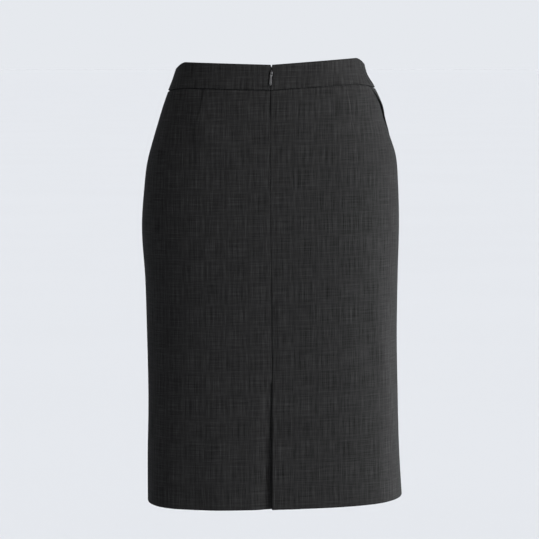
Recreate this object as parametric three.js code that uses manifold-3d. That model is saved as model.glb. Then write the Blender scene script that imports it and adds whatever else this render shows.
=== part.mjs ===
// Knee-length pencil skirt in charcoal suiting, standing open as it is worn.
// Millimetres, +Z up. The back of the skirt faces +Y, its own left side is at +X, and the origin is the
// centre of the waist, at half the height of the waistband.

import * as THREE from 'three';
import * as BufferGeometryUtils from 'three/addons/utils/BufferGeometryUtils.js';
import Module from 'manifold-3d';

const wasm = await Module();
wasm.setup();

// Cloth walls
const SEAM_GAP = 0.3;
const LAYER_GAP = 0.5;
const PANEL_WALL = 2.2;
const BAND_WALL = 3;
const BAND_PROUD = 0.5;
const FACING_WALL = 1.5;
const TAPE_WALL = 0.8;

// Heights, measured on the level skirt before the hips tilt it
const WAIST_TOP = 22.3;
const BACK_WAIST_DIP = 7;
const FRONT_WAIST_DIP = 10.5;
const BAND_HEIGHT = 34;
const HIP_LINE = -140;
const VENT_TOP = -405.5;
const HEM = -573.3;
const HEM_SIDE_RISE = 2.4;

// The edges of the band turn down over the sides, from the angle whose sine is given
const TOP_TURN = { from: 0.9, left: 8.5, right: 8.5 };
const SEAM_TURN = { from: 0.75, left: 4.8, right: 7.4 };

// The wearer's right side stands a little higher than the left
const HIP_TILT = 0.0245;

// Half widths and depths of the skirt at a row of heights.
// squareness 0 is an oval, and more of it fills out the four corners.
const SECTIONS = [
  { z: 30, left: 125.5, right: 121.5, back: 91, front: 91, squareness: 0.015 },
  { z: 17, left: 128, right: 123.5, back: 92.5, front: 92.5, squareness: 0.015 },
  { z: 0, left: 133.2, right: 127.8, back: 95.5, front: 95.5, squareness: 0.017 },
  { z: -17, left: 140, right: 137.6, back: 100, front: 99, squareness: 0.018 },
  { z: -40, left: 148, right: 145.6, back: 105, front: 103.5, squareness: 0.02 },
  { z: -60, left: 154, right: 149.8, back: 109.5, front: 107, squareness: 0.022 },
  { z: -80, left: 160, right: 157.3, back: 113.5, front: 109.5, squareness: 0.024 },
  { z: -110, left: 168, right: 166.9, back: 118.5, front: 112, squareness: 0.026 },
  { z: -140, left: 172, right: 169.8, back: 122, front: 113.5, squareness: 0.028 },
  { z: -200, left: 175.8, right: 171.6, back: 125, front: 114, squareness: 0.03 },
  { z: -270, left: 171.4, right: 170, back: 123, front: 113, squareness: 0.032 },
  { z: -350, left: 168.9, right: 169, back: 119, front: 112, squareness: 0.034 },
  { z: -430, left: 167, right: 170.4, back: 116.5, front: 112, squareness: 0.037 },
  { z: -510, left: 168.2, right: 172.6, back: 115.5, front: 112.5, squareness: 0.04 },
  { z: -580, left: 168.5, right: 176.8, back: 115, front: 113, squareness: 0.04 },
];

// Angles go round from the centre back: plus to the skirt's left side, minus to its right.
// The pocket mouth slants, so the right seam is further round to the back at the waist.
const LEFT_SEAM = 87;
const RIGHT_SEAM = [
  { z: 30, angle: 73.5 },
  { z: -17, angle: 72.5 },
  { z: -28, angle: 75.5 },
  { z: -45, angle: 81.5 },
  { z: -65, angle: 85 },
  { z: -110, angle: 87 },
  { z: -580, angle: 87 },
];

// Darts at the waist, in pairs, as soft troughs that run out below the band
const BACK_DART = { angle: 41, length: 100, depth: 0.8, spread: 1.6 };
const FRONT_DART = { angle: 142, length: 85, depth: 0.6, spread: 1.6 };

// The largest soft folds of the hanging cloth: ridges, or troughs where rise is below zero.
// Each leans from one angle at its top to another at its bottom, and spread is its half width in degrees.
const FOLDS = [
  { top: -385, bottom: -760, from: 23, to: 21, spread: 6, rise: 1.5 },
  { top: -400, bottom: -740, from: 38, to: 35, spread: 9, rise: -1.8 },
  { top: -262, bottom: -520, from: -48, to: -68, spread: 7, rise: 1.8 },
  { top: -262, bottom: -430, from: -41, to: -47, spread: 6, rise: -1 },
  { top: -400, bottom: -640, from: -53, to: -51, spread: 6, rise: 1.1 },
  { top: -300, bottom: -760, from: 128, to: 125, spread: 10, rise: 2 },
  { top: -360, bottom: -760, from: 148, to: 152, spread: 9, rise: -1.6 },
  { top: -380, bottom: -760, from: 176, to: 180, spread: 9, rise: 1.3 },
  { top: -350, bottom: -740, from: 212, to: 207, spread: 9, rise: -1.5 },
  { top: -280, bottom: -760, from: 231, to: 236, spread: 10, rise: 2.2 },
];

// Pocket mouth in the right side seam: the front panel's edge stands off from the back panel
const MOUTH = { top: -20, bottom: -84, gape: 4.6, reach: 50 };
const POCKET_FACING = { top: -19, bottom: -150, under: 3, past: 15 };

// Vent at the centre back: the left panel steps in and runs on under the right one
const VENT_STEP_TOP = PANEL_WALL + LAYER_GAP;
const VENT_STEP_HEM = 6.5;
const VENT_WEDGE_TOP = 1.1;
const VENT_WEDGE_HEM = 3.4;

// Concealed zip
const ZIP_BOTTOM = -170;
const TAPE_WIDTH = 12;
const PULL_LENGTH = 18;
const PULL_DROP = 10.1;
const PULL_TIP_IN = 0.45;
const SLIT = [
  { below: 0, half: 1.5 },
  { below: 4, half: 1.2 },
  { below: 8, half: 1.2 },
  { below: 13, half: 1.7 },
  { below: 18, half: 1.9 },
  { below: 23, half: 1.8 },
  { below: 26, half: 0.6 },
  { below: 28.5, half: SEAM_GAP / 2 },
  { below: 33, half: SEAM_GAP / 2 },
  { below: 60, half: SEAM_GAP / 2 },
];
const TAPES_MEET = 18;

// Columns of points across the pieces, in degrees from the centre back
const BACK_COLUMNS = [1, 2.2, 3.6, 6.5, 11, 17, 23, 29, 35, 39.2, 41, 42.8, 47, 53, 59, 65, 71, 77];
const UNDERLAP_COLUMNS = [-11.5, -6, -0.4];
const FIXED_COLUMNS = 43;
const LAST_CELL = 5;
const FRONT_STEP = 5.6;
// Angle at which a row's height is read for the side seams
const SEAM_LEVEL = 76;

const RAD = Math.PI / 180;

function smoothstep(value) {
  const t = Math.min(1, Math.max(0, value));
  return t * t * (3 - 2 * t);
}

// Value of a named column of a table at a height, on one smooth curve through its rows
function fromTable(table, key, column, at) {
  const falling = table[0][key] > table[1][key];
  const inside = (row) => (falling ? at <= row[key] : at >= row[key]);
  let i = 0;
  while (i < table.length - 2 && inside(table[i + 1])) {
    i += 1;
  }
  const slope = (a, b) => (table[b][column] - table[a][column]) / (table[b][key] - table[a][key]);
  const tangent = (n) => slope(Math.max(0, n - 1), Math.min(table.length - 1, n + 1));
  const span = table[i + 1][key] - table[i][key];
  const t = Math.min(1, Math.max(0, (at - table[i][key]) / span));
  const rise = table[i + 1][column] - table[i][column];
  const start = tangent(i) * span;
  const end = tangent(i + 1) * span;
  const bend = start * t * (1 - t) * (1 - t) - end * t * t * (1 - t);
  return table[i][column] + rise * smoothstep(t) + bend;
}

// Point on the outline of the level section at height z
function ringPoint(angle, z) {
  const t = angle * RAD;
  const k = fromTable(SECTIONS, 'z', 'squareness', z);
  const width = fromTable(SECTIONS, 'z', Math.sin(t) >= 0 ? 'left' : 'right', z);
  const depth = fromTable(SECTIONS, 'z', Math.cos(t) >= 0 ? 'back' : 'front', z);
  const x = (width * (Math.sin(t) + k * Math.sin(3 * t))) / (1 - k);
  const y = (depth * (Math.cos(t) - k * Math.cos(3 * t))) / (1 - k);
  return new THREE.Vector2(x, y);
}

// Direction along the section, in millimetres for each degree
function ringTangent(angle, z) {
  const step = 0.05;
  const before = ringPoint(angle - step, z);
  const after = ringPoint(angle + step, z);
  return after.sub(before).divideScalar(2 * step);
}

// Angle that a distance along the section takes up
function angleOf(distance, angle, z) {
  return distance / ringTangent(angle, z).length();
}

// Height of an edge of the band at an angle, from its level and the way it turns down over the sides
function bandEdge(level, turn, angle) {
  const cosine = Math.cos(angle * RAD);
  const sine = Math.sin(angle * RAD);
  const side = sine > 0 ? turn.left : turn.right;
  if (cosine < 0) {
    return level - side - (FRONT_WAIST_DIP - side) * cosine * cosine;
  }
  const past = Math.max(0, (Math.abs(sine) - turn.from) / (1 - turn.from));
  return level - BACK_WAIST_DIP * (1 - Math.abs(sine)) - side * past * past;
}

function waistTop(angle) {
  return bandEdge(WAIST_TOP, TOP_TURN, angle);
}

function bandSeam(angle) {
  return bandEdge(WAIST_TOP - BAND_HEIGHT, SEAM_TURN, angle);
}

function hemHeight(angle) {
  return HEM + HEM_SIDE_RISE * Math.pow(Math.sin(angle * RAD), 4);
}

// How far the folds lift the cloth at a point
function foldRise(angle, z) {
  let rise = 0;
  for (const fold of FOLDS) {
    const along = Math.min(1, Math.max(0, (fold.top - z) / (fold.top - fold.bottom)));
    const across = (angle - fold.from - (fold.to - fold.from) * along) / fold.spread;
    rise += fold.rise * Math.exp(-across * across) * Math.sin(Math.PI * along);
  }
  return rise;
}

// Depth of the dart troughs at a point
function dartTrough(angle, z) {
  let trough = 0;
  for (const dart of [BACK_DART, FRONT_DART]) {
    const across = (Math.abs(angle) - dart.angle) / dart.spread;
    const along = 1 - (bandSeam(dart.angle) - z) / dart.length;
    trough += dart.depth * Math.exp(-across * across) * smoothstep(along);
  }
  return trough;
}

// How far the front panel stands off beside the pocket mouth
function mouthGape(angle, z) {
  const along = (MOUTH.top - z) / (MOUTH.top - MOUTH.bottom);
  if (along <= 0 || along >= 1) {
    return 0;
  }
  const past = angle > 180 ? 360 - angle - fromTable(RIGHT_SEAM, 'z', 'angle', z) : MOUTH.reach;
  const across = Math.cos((Math.min(1, Math.max(0, past / MOUTH.reach)) * Math.PI) / 2);
  return MOUTH.gape * Math.sin(Math.PI * Math.pow(along, 0.75)) * across * across;
}

// How far the left back panel steps in beside the vent
function ventStep(angle, z) {
  if (z > VENT_TOP + SEAM_GAP) {
    return 0;
  }
  const down = (VENT_TOP - z) / (VENT_TOP - HEM);
  const wedge = VENT_WEDGE_TOP + (VENT_WEDGE_HEM - VENT_WEDGE_TOP) * down;
  const step = VENT_STEP_TOP + (VENT_STEP_HEM - VENT_STEP_TOP) * smoothstep(down);
  return step * (1 - smoothstep(angle / wedge));
}

// Point at a distance out from the section, tilted with the hips
function clothPoint(angle, z, out) {
  const point = ringPoint(angle, z);
  const tangent = ringTangent(angle, z).normalize();
  const x = point.x - tangent.y * out;
  const y = point.y + tangent.x * out;
  return new THREE.Vector3(x, y, z - HIP_TILT * x);
}

// Closed wall over a grid of points: outer face, inner face, and an edge wherever the cloth ends.
// place(column, row, inner) gives a point, and isCloth(column, row) says whether a cell is there.
function wall(columns, rows, place, isCloth = () => true) {
  const vertices = [];
  const triangles = [];
  const perSide = (columns + 1) * (rows + 1);
  for (const inner of [false, true]) {
    for (let j = 0; j <= rows; j += 1) {
      for (let i = 0; i <= columns; i += 1) {
        vertices.push(...place(i, j, inner).toArray());
      }
    }
  }
  const outerAt = (i, j) => j * (columns + 1) + i;
  const innerAt = (i, j) => perSide + outerAt(i, j);
  const filled = (i, j) => i >= 0 && j >= 0 && i < columns && j < rows && isCloth(i, j);
  const quad = (a, b, c, d) => triangles.push(a, b, c, a, c, d);
  for (let j = 0; j < rows; j += 1) {
    for (let i = 0; i < columns; i += 1) {
      if (!filled(i, j)) {
        continue;
      }
      quad(outerAt(i, j), outerAt(i, j + 1), outerAt(i + 1, j + 1), outerAt(i + 1, j));
      quad(innerAt(i, j), innerAt(i + 1, j), innerAt(i + 1, j + 1), innerAt(i, j + 1));
      if (!filled(i, j - 1)) {
        quad(outerAt(i, j), outerAt(i + 1, j), innerAt(i + 1, j), innerAt(i, j));
      }
      if (!filled(i, j + 1)) {
        quad(outerAt(i, j + 1), innerAt(i, j + 1), innerAt(i + 1, j + 1), outerAt(i + 1, j + 1));
      }
      if (!filled(i - 1, j)) {
        quad(outerAt(i, j), innerAt(i, j), innerAt(i, j + 1), outerAt(i, j + 1));
      }
      if (!filled(i + 1, j)) {
        quad(outerAt(i + 1, j), outerAt(i + 1, j + 1), innerAt(i + 1, j + 1), innerAt(i + 1, j));
      }
    }
  }
  return solidGeometry(vertices, triangles);
}

// Geometry of only the points in use, turned so that its faces point out
function solidGeometry(vertices, triangles) {
  const used = new Map();
  const positions = [];
  const index = triangles.map((n) => {
    if (!used.has(n)) {
      used.set(n, used.size);
      positions.push(vertices[3 * n], vertices[3 * n + 1], vertices[3 * n + 2]);
    }
    return used.get(n);
  });
  const geometry = new THREE.BufferGeometry();
  geometry.setAttribute('position', new THREE.Float32BufferAttribute(positions, 3));
  geometry.setIndex(index);
  if (volume(geometry) < 0) {
    const turned = [];
    for (let n = 0; n < index.length; n += 3) {
      turned.push(index[n], index[n + 2], index[n + 1]);
    }
    geometry.setIndex(turned);
  }
  geometry.computeVertexNormals();
  return geometry;
}

function volume(geometry) {
  const position = geometry.getAttribute('position');
  const index = geometry.getIndex();
  const [a, b, c] = [new THREE.Vector3(), new THREE.Vector3(), new THREE.Vector3()];
  let sum = 0;
  for (let n = 0; n < index.count; n += 3) {
    a.fromBufferAttribute(position, index.getX(n));
    b.fromBufferAttribute(position, index.getX(n + 1));
    c.fromBufferAttribute(position, index.getX(n + 2));
    sum += a.dot(b.cross(c)) / 6;
  }
  return sum;
}

// Even steps from one value to another, without the first
function stretch(from, to, count) {
  return Array.from({ length: count }, (_, n) => from + ((to - from) * (n + 1)) / count);
}

// Heights of the rows of a panel at one angle, from under the band to the hem
const PANEL_ROWS = { top: 10, middle: 10, vent: 6 };

function panelHeights(angle) {
  const top = bandSeam(angle) - SEAM_GAP / 2;
  return [
    top,
    ...stretch(top, HIP_LINE, PANEL_ROWS.top),
    ...stretch(HIP_LINE, VENT_TOP, PANEL_ROWS.middle),
    ...stretch(VENT_TOP, hemHeight(angle), PANEL_ROWS.vent),
  ];
}

const PANEL_CELLS = PANEL_ROWS.top + PANEL_ROWS.middle + PANEL_ROWS.vent;
const VENT_ROW = PANEL_ROWS.top + PANEL_ROWS.middle;

// Heights of the rows of the waistband at one angle, close together beside the slider
const BAND_DROPS = [0, 4, 8, 13, 18, 23, 28.5];

function bandHeights(angle) {
  const top = waistTop(angle);
  const seam = bandSeam(angle) + SEAM_GAP / 2;
  return [...BAND_DROPS.map((drop) => top - (drop * (top - seam)) / BAND_HEIGHT), seam];
}

function seamAngle(side, z) {
  return side > 0 ? LEFT_SEAM : fromTable(RIGHT_SEAM, 'z', 'angle', z);
}

// Half the width of the slit at the centre back, open at the slider and closed below it
function slitHalf(z) {
  return fromTable(SLIT, 'below', 'half', waistTop(0) - z);
}

// Angle of a column of a back piece. Side is 1 for the left and -1 for the right, and heightAt gives the
// height of the row at an angle, so that both pieces of a seam follow one line.
function backAngle(column, side, heightAt) {
  if (column < 0) {
    return side * angleOf(slitHalf(heightAt(0)), 0, heightAt(0));
  }
  if (column < BACK_COLUMNS.length && BACK_COLUMNS[column] <= FIXED_COLUMNS) {
    return side * BACK_COLUMNS[column];
  }
  const z = heightAt(SEAM_LEVEL);
  const seam = seamAngle(side, z);
  const end = seam - angleOf(SEAM_GAP / 2, side * seam, z);
  if (column >= BACK_COLUMNS.length) {
    return side * end;
  }
  const widest = BACK_COLUMNS[BACK_COLUMNS.length - 1];
  const squeeze = (end - LAST_CELL - FIXED_COLUMNS) / (widest - FIXED_COLUMNS);
  return side * (FIXED_COLUMNS + (BACK_COLUMNS[column] - FIXED_COLUMNS) * squeeze);
}

function backPanel(side) {
  const underlap = side > 0 ? UNDERLAP_COLUMNS.length : 0;
  const place = (i, j, inner) => {
    const heightAt = (angle) => panelHeights(angle)[j];
    const angle = i < underlap ? UNDERLAP_COLUMNS[i] : backAngle(i - underlap - 1, side, heightAt);
    const z = heightAt(angle);
    const step = side > 0 && j >= VENT_ROW ? ventStep(angle, z) : 0;
    const out = foldRise(angle, z) - step - dartTrough(angle, z);
    return clothPoint(angle, z, inner ? out - PANEL_WALL : out);
  };
  const isCloth = (i, j) => i >= underlap || j >= VENT_ROW;
  return wall(BACK_COLUMNS.length + 1 + underlap, PANEL_CELLS, place, isCloth);
}

function bandBack(side) {
  const place = (i, j, inner) => {
    const heightAt = (angle) => bandHeights(angle)[j];
    const angle = backAngle(i - 1, side, heightAt);
    return clothPoint(angle, heightAt(angle), inner ? BAND_PROUD - BAND_WALL : BAND_PROUD);
  };
  return wall(BACK_COLUMNS.length + 1, BAND_DROPS.length, place);
}

// Angles of the columns of a front piece along one row, from the left seam round to the right one
function frontAngles(heightAt) {
  const z = heightAt(SEAM_LEVEL);
  const right = 360 - seamAngle(-1, z);
  const start = LEFT_SEAM + angleOf(SEAM_GAP / 2, LEFT_SEAM, z);
  const end = right - angleOf(SEAM_GAP / 2, right, z);
  const darts = [FRONT_DART.angle, 360 - FRONT_DART.angle];
  const offsets = [-FRONT_DART.spread, 0, FRONT_DART.spread];
  const aroundDarts = darts.flatMap((dart) => offsets.map((offset) => dart + offset));
  const stops = [start, ...aroundDarts, end];
  const level = [LEFT_SEAM, ...aroundDarts, 360 - LEFT_SEAM];
  const angles = [start];
  for (let n = 1; n < stops.length; n += 1) {
    const count = Math.max(1, Math.round((level[n] - level[n - 1]) / FRONT_STEP));
    angles.push(...stretch(stops[n - 1], stops[n], count));
  }
  return angles;
}

const FRONT_CELLS = frontAngles(() => HIP_LINE).length - 1;

function frontPanel() {
  const place = (i, j, inner) => {
    const heightAt = (angle) => panelHeights(angle)[j];
    const angle = frontAngles(heightAt)[i];
    const z = heightAt(angle);
    const trough = dartTrough(angle > 180 ? 360 - angle : angle, z);
    const out = foldRise(angle, z) + mouthGape(angle, z) - trough;
    return clothPoint(angle, z, inner ? out - PANEL_WALL : out);
  };
  return wall(FRONT_CELLS, PANEL_CELLS, place);
}

function bandFront() {
  const place = (i, j, inner) => {
    const heightAt = (angle) => bandHeights(angle)[j];
    const angle = frontAngles(heightAt)[i];
    return clothPoint(angle, heightAt(angle), inner ? BAND_PROUD - BAND_WALL : BAND_PROUD);
  };
  return wall(FRONT_CELLS, BAND_DROPS.length, place);
}

// Strip of facing behind the pocket mouth, held between the back panel's edge and the front panel
function pocketFacing() {
  const columns = 5;
  const rows = 8;
  const outside = -PANEL_WALL - LAYER_GAP;
  const place = (i, j, inner) => {
    const z = POCKET_FACING.top + ((POCKET_FACING.bottom - POCKET_FACING.top) * j) / rows;
    const seam = 360 - fromTable(RIGHT_SEAM, 'z', 'angle', z);
    const across = POCKET_FACING.under - ((POCKET_FACING.under + POCKET_FACING.past) * i) / columns;
    return clothPoint(seam + across, z, inner ? outside - FACING_WALL : outside);
  };
  return wall(columns, rows, place);
}

// Tape of the zip on one side of the centre back, behind the band and the panel
function zipTape(side) {
  const columns = 2;
  const heights = [0.8, 4, 8, 13, 18, 23, 36, 60, 90, 125, waistTop(0) - ZIP_BOTTOM];
  const outside = BAND_PROUD - BAND_WALL - SEAM_GAP;
  const place = (i, j, inner) => {
    const z = waistTop(0) - heights[j];
    const edge = heights[j] < TAPES_MEET ? slitHalf(z) : SEAM_GAP / 2;
    const distance = edge + ((TAPE_WIDTH - edge) * i) / columns;
    return clothPoint(side * angleOf(distance, 0, z), z, inner ? outside - TAPE_WALL : outside);
  };
  return wall(columns, heights.length - 1, place);
}

// Flat shape pushed through a thickness and centred on it. Its plane is XZ, or YZ when turned.
function plate(shape, thickness, turned = false) {
  const geometry = new THREE.ExtrudeGeometry(shape, { depth: thickness, bevelEnabled: false, curveSegments: 6 });
  geometry.translate(0, 0, -thickness / 2);
  geometry.rotateX(Math.PI / 2);
  if (turned) {
    geometry.rotateZ(Math.PI / 2);
  }
  return geometry;
}

function toSolid(geometry) {
  const bare = geometry.clone();
  bare.deleteAttribute('normal');
  bare.deleteAttribute('uv');
  const merged = BufferGeometryUtils.mergeVertices(bare, 1e-4);
  const vertProperties = new Float32Array(merged.getAttribute('position').array);
  const triVerts = new Uint32Array(merged.getIndex().array);
  return new wasm.Manifold(new wasm.Mesh({ numProp: 3, vertProperties, triVerts }));
}

function fromSolid(solid) {
  const mesh = solid.getMesh();
  return solidGeometry(Array.from(mesh.vertProperties), Array.from(mesh.triVerts));
}

// Slider behind the band, with the bridge that stands out through the slit.
// y is 0 on the outside of the band, and z is 0 at the pull's pivot.
const PIVOT_OUT = 1.35;
const BRIDGE = { thickness: 1, deep: -6, out: 3.1, half: 3.1, window: 0.95, windowHalf: 1.6 };
const SLIDER_BODY = { width: 6.4, height: 9.6, front: -4.5, back: -7.7 };

function zipSlider() {
  const bridge = new THREE.Shape();
  bridge.moveTo(BRIDGE.deep, -2.3);
  bridge.lineTo(0.4, -BRIDGE.half);
  bridge.quadraticCurveTo(BRIDGE.out, -BRIDGE.half, BRIDGE.out, -1.4);
  bridge.lineTo(BRIDGE.out, 1.4);
  bridge.quadraticCurveTo(BRIDGE.out, BRIDGE.half, 0.4, BRIDGE.half);
  bridge.lineTo(BRIDGE.deep, 2.3);
  const window = new THREE.Path();
  window.moveTo(PIVOT_OUT - BRIDGE.window, -BRIDGE.windowHalf);
  window.lineTo(PIVOT_OUT - BRIDGE.window, BRIDGE.windowHalf);
  window.lineTo(PIVOT_OUT + BRIDGE.window, BRIDGE.windowHalf);
  window.lineTo(PIVOT_OUT + BRIDGE.window, -BRIDGE.windowHalf);
  bridge.holes.push(window);
  const half = SLIDER_BODY.width / 2;
  const tall = SLIDER_BODY.height / 2;
  const shield = new THREE.Shape();
  shield.moveTo(-half * 0.5, -tall);
  shield.lineTo(half * 0.5, -tall);
  shield.quadraticCurveTo(half * 0.8, -tall, half * 0.85, -tall * 0.4);
  shield.lineTo(half, tall * 0.6);
  shield.quadraticCurveTo(half, tall, half * 0.5, tall);
  shield.lineTo(-half * 0.5, tall);
  shield.quadraticCurveTo(-half, tall, -half, tall * 0.6);
  shield.lineTo(-half * 0.85, -tall * 0.4);
  shield.quadraticCurveTo(-half * 0.8, -tall, -half * 0.5, -tall);
  const body = plate(shield, SLIDER_BODY.front - SLIDER_BODY.back);
  body.translate(0, (SLIDER_BODY.front + SLIDER_BODY.back) / 2, 0);
  return fromSolid(toSolid(body).add(toSolid(plate(bridge, BRIDGE.thickness, true))));
}

// Teardrop pull tab with an eye. The bar above the eye lies in the bridge's window.
const PULL = { thickness: 0.9, bar: 0.45, eyeHalf: 0.85, eyeDrop: 3.9, shoulder: 4.3 };
const PULL_HALVES = { top: 1.5, neck: 0.95, drop: 1.4 };

function zipPull() {
  const tip = -PULL_LENGTH;
  const neck = -7;
  const { top, neck: waist, drop } = PULL_HALVES;
  const outline = new THREE.Shape();
  outline.moveTo(-top, PULL.bar);
  outline.lineTo(top, PULL.bar);
  outline.lineTo(top, -PULL.shoulder);
  outline.quadraticCurveTo(waist, neck + 1.5, waist, neck);
  outline.quadraticCurveTo(waist, neck - 3, drop, tip + 4);
  outline.bezierCurveTo(drop * 1.05, tip + 1.4, drop * 0.75, tip, 0, tip);
  outline.bezierCurveTo(-drop * 0.75, tip, -drop * 1.05, tip + 1.4, -drop, tip + 4);
  outline.quadraticCurveTo(-waist, neck - 3, -waist, neck);
  outline.quadraticCurveTo(-waist, neck + 1.5, -top, -PULL.shoulder);
  const eye = new THREE.Path();
  eye.moveTo(-PULL.eyeHalf, -PULL.bar);
  eye.lineTo(-PULL.eyeHalf, -PULL.eyeDrop);
  eye.lineTo(PULL.eyeHalf, -PULL.eyeDrop);
  eye.lineTo(PULL.eyeHalf, -PULL.bar);
  outline.holes.push(eye);
  return plate(outline, PULL.thickness);
}

const CLOTH = new THREE.Color(0x2d2e30);
const CLOTH_IN_SHADE = new THREE.Color(0x202124);
const ZIP_TAPE = new THREE.Color(0x26272a);
const METAL = new THREE.Color(0x9b9ea3);

function part(name, geometry, color, roughness, metalness) {
  const material = new THREE.MeshStandardMaterial({ color, roughness, metalness });
  const mesh = new THREE.Mesh(geometry, material);
  mesh.name = name;
  return mesh;
}

// The slider lies against the band, which leans out towards the hips. The pull hangs a little nearer to
// the band at its tip than at its pivot.
function zipHardware() {
  const pivotHeight = waistTop(0) - PULL_DROP;
  const outAt = (z) => clothPoint(0, z, BAND_PROUD).y;
  const leanOver = (top, bottom) => Math.atan2(outAt(bottom) - outAt(top), top - bottom);
  const reach = SLIDER_BODY.height / 2;
  const lean = leanOver(pivotHeight + reach, pivotHeight - reach);
  const hardware = new THREE.Group();
  hardware.position.set(0, outAt(pivotHeight), pivotHeight);
  hardware.rotation.x = lean;
  const pull = part('zip_pull', zipPull(), METAL, 0.35, 0.9);
  pull.position.set(0, PIVOT_OUT, 0);
  pull.rotation.x = leanOver(pivotHeight, pivotHeight - PULL_LENGTH) - lean - PULL_TIP_IN / PULL_LENGTH;
  hardware.add(part('zip_slider', zipSlider(), METAL, 0.4, 0.9), pull);
  return hardware;
}

const skirt = new THREE.Group();
skirt.add(
  part('front_panel', frontPanel(), CLOTH, 0.9, 0),
  part('back_panel_left', backPanel(1), CLOTH, 0.9, 0),
  part('back_panel_right', backPanel(-1), CLOTH, 0.9, 0),
  part('waistband_front', bandFront(), CLOTH, 0.9, 0),
  part('waistband_back_left', bandBack(1), CLOTH, 0.9, 0),
  part('waistband_back_right', bandBack(-1), CLOTH, 0.9, 0),
  part('pocket_facing_right', pocketFacing(), CLOTH_IN_SHADE, 0.95, 0),
  part('zip_tape_left', zipTape(1), ZIP_TAPE, 0.85, 0),
  part('zip_tape_right', zipTape(-1), ZIP_TAPE, 0.85, 0),
  zipHardware(),
);

export default skirt;
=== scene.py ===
# %% [markdown]
# A pencil skirt in charcoal suiting, worn and seen from behind.
#
# The real skirt is six pieces of one cloth: a front, two backs and a waistband in three parts, with a
# concealed zip at the centre back, a pocket mouth in the right side seam and a vent at the hem. This lesson
# builds each piece as a sheet, the way a maker would cut it, with its seam allowances and hem turned in.
# The fixed frame holds the same pieces as plain walls. Every sheet here takes the place of one of them.

# %% Load the frame
import math

import bmesh
import bpy
import numpy as np
from mathutils import Matrix, Vector

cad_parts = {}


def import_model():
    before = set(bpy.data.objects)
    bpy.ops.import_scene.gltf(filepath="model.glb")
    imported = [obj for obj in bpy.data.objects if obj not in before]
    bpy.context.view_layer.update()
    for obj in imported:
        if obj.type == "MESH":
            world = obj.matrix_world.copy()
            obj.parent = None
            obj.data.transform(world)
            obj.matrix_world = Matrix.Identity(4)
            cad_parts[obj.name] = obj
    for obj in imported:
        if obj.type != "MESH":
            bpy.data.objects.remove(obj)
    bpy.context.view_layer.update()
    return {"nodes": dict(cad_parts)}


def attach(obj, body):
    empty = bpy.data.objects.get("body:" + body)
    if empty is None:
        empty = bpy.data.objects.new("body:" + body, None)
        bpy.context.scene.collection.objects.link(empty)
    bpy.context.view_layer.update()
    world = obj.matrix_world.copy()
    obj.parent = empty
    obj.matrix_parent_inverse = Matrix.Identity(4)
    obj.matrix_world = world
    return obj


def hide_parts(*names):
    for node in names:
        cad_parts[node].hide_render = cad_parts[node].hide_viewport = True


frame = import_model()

print("frame nodes:", sorted(frame["nodes"]))

# %% [markdown]
# The form comes first. A worn skirt is a tube, so it can be drawn as level sections: how far the cloth
# stands out to the left, right, back and front at a row of heights. A smooth curve through the rows gives
# every height in between. Sculpting by eye would also work, but a table keeps the waist, hip and hem at
# sizes that can be read and changed. All lengths are millimetres until the mesh is made.

# %% The body of the skirt as sections
MM = 0.001
SECTION_COLUMNS = ("z", "left", "right", "back", "front", "squareness")
SECTIONS = [
    (30, 125.5, 121.5, 91, 91, 0.015),
    (17, 128, 123.5, 92.5, 92.5, 0.015),
    (0, 133.2, 127.8, 95.5, 95.5, 0.017),
    (-17, 140, 137.6, 100, 99, 0.018),
    (-40, 148, 145.6, 105, 103.5, 0.02),
    (-60, 154, 149.8, 109.5, 107, 0.022),
    (-80, 160, 157.3, 113.5, 109.5, 0.024),
    (-110, 168, 166.9, 118.5, 112, 0.026),
    (-140, 172, 169.8, 122, 113.5, 0.028),
    (-200, 175.8, 171.6, 125, 114, 0.03),
    (-270, 171.4, 170, 123, 113, 0.032),
    (-350, 168.9, 169, 119, 112, 0.034),
    (-430, 167, 170.4, 116.5, 112, 0.037),
    (-510, 168.2, 172.6, 115.5, 112.5, 0.04),
    (-580, 168.5, 176.8, 115, 113, 0.04),
]

# Angles go round from the centre back, plus to the skirt's left side and minus to its right
LEFT_SEAM = 87
SEAM_COLUMNS = ("z", "angle")
RIGHT_SEAM = [(30, 73.5), (-17, 72.5), (-28, 75.5), (-45, 81.5), (-65, 85), (-110, 87), (-580, 87)]

WAIST_TOP = 22.3
BACK_WAIST_DIP = 7
FRONT_WAIST_DIP = 10.5
BAND_HEIGHT = 34
HIP_LINE = -140
VENT_TOP = -405.5
HEM = -573.3
HEM_SIDE_RISE = 2.4
HIP_TILT = 0.0245

# The band's edges turn down over the sides, from the angle whose sine is given
TOP_TURN = {"from": 0.9, "left": 8.5, "right": 8.5}
SEAM_TURN = {"from": 0.75, "left": 4.8, "right": 7.4}


def smoothstep(value):
    t = np.clip(value, 0, 1)
    return t * t * (3 - 2 * t)


def from_table(table, columns, name, at):
    """Value of a named column at each height, on one smooth curve through its rows."""
    rows = np.array(table, float)
    z = rows[:, 0]
    v = rows[:, columns.index(name)]
    last = len(z) - 1
    before = np.maximum(np.arange(len(z)) - 1, 0)
    after = np.minimum(np.arange(len(z)) + 1, last)
    tangent = (v[after] - v[before]) / (z[after] - z[before])
    at = np.asarray(at, float)
    i = np.clip(np.searchsorted(-z, -at, side="right") - 1, 0, last - 1)
    span = z[i + 1] - z[i]
    t = np.clip((at - z[i]) / span, 0, 1)
    bend = tangent[i] * span * t * (1 - t) ** 2 - tangent[i + 1] * span * t * t * (1 - t)
    return v[i] + (v[i + 1] - v[i]) * smoothstep(t) + bend


def section_value(name, z):
    return from_table(SECTIONS, SECTION_COLUMNS, name, z)


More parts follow.
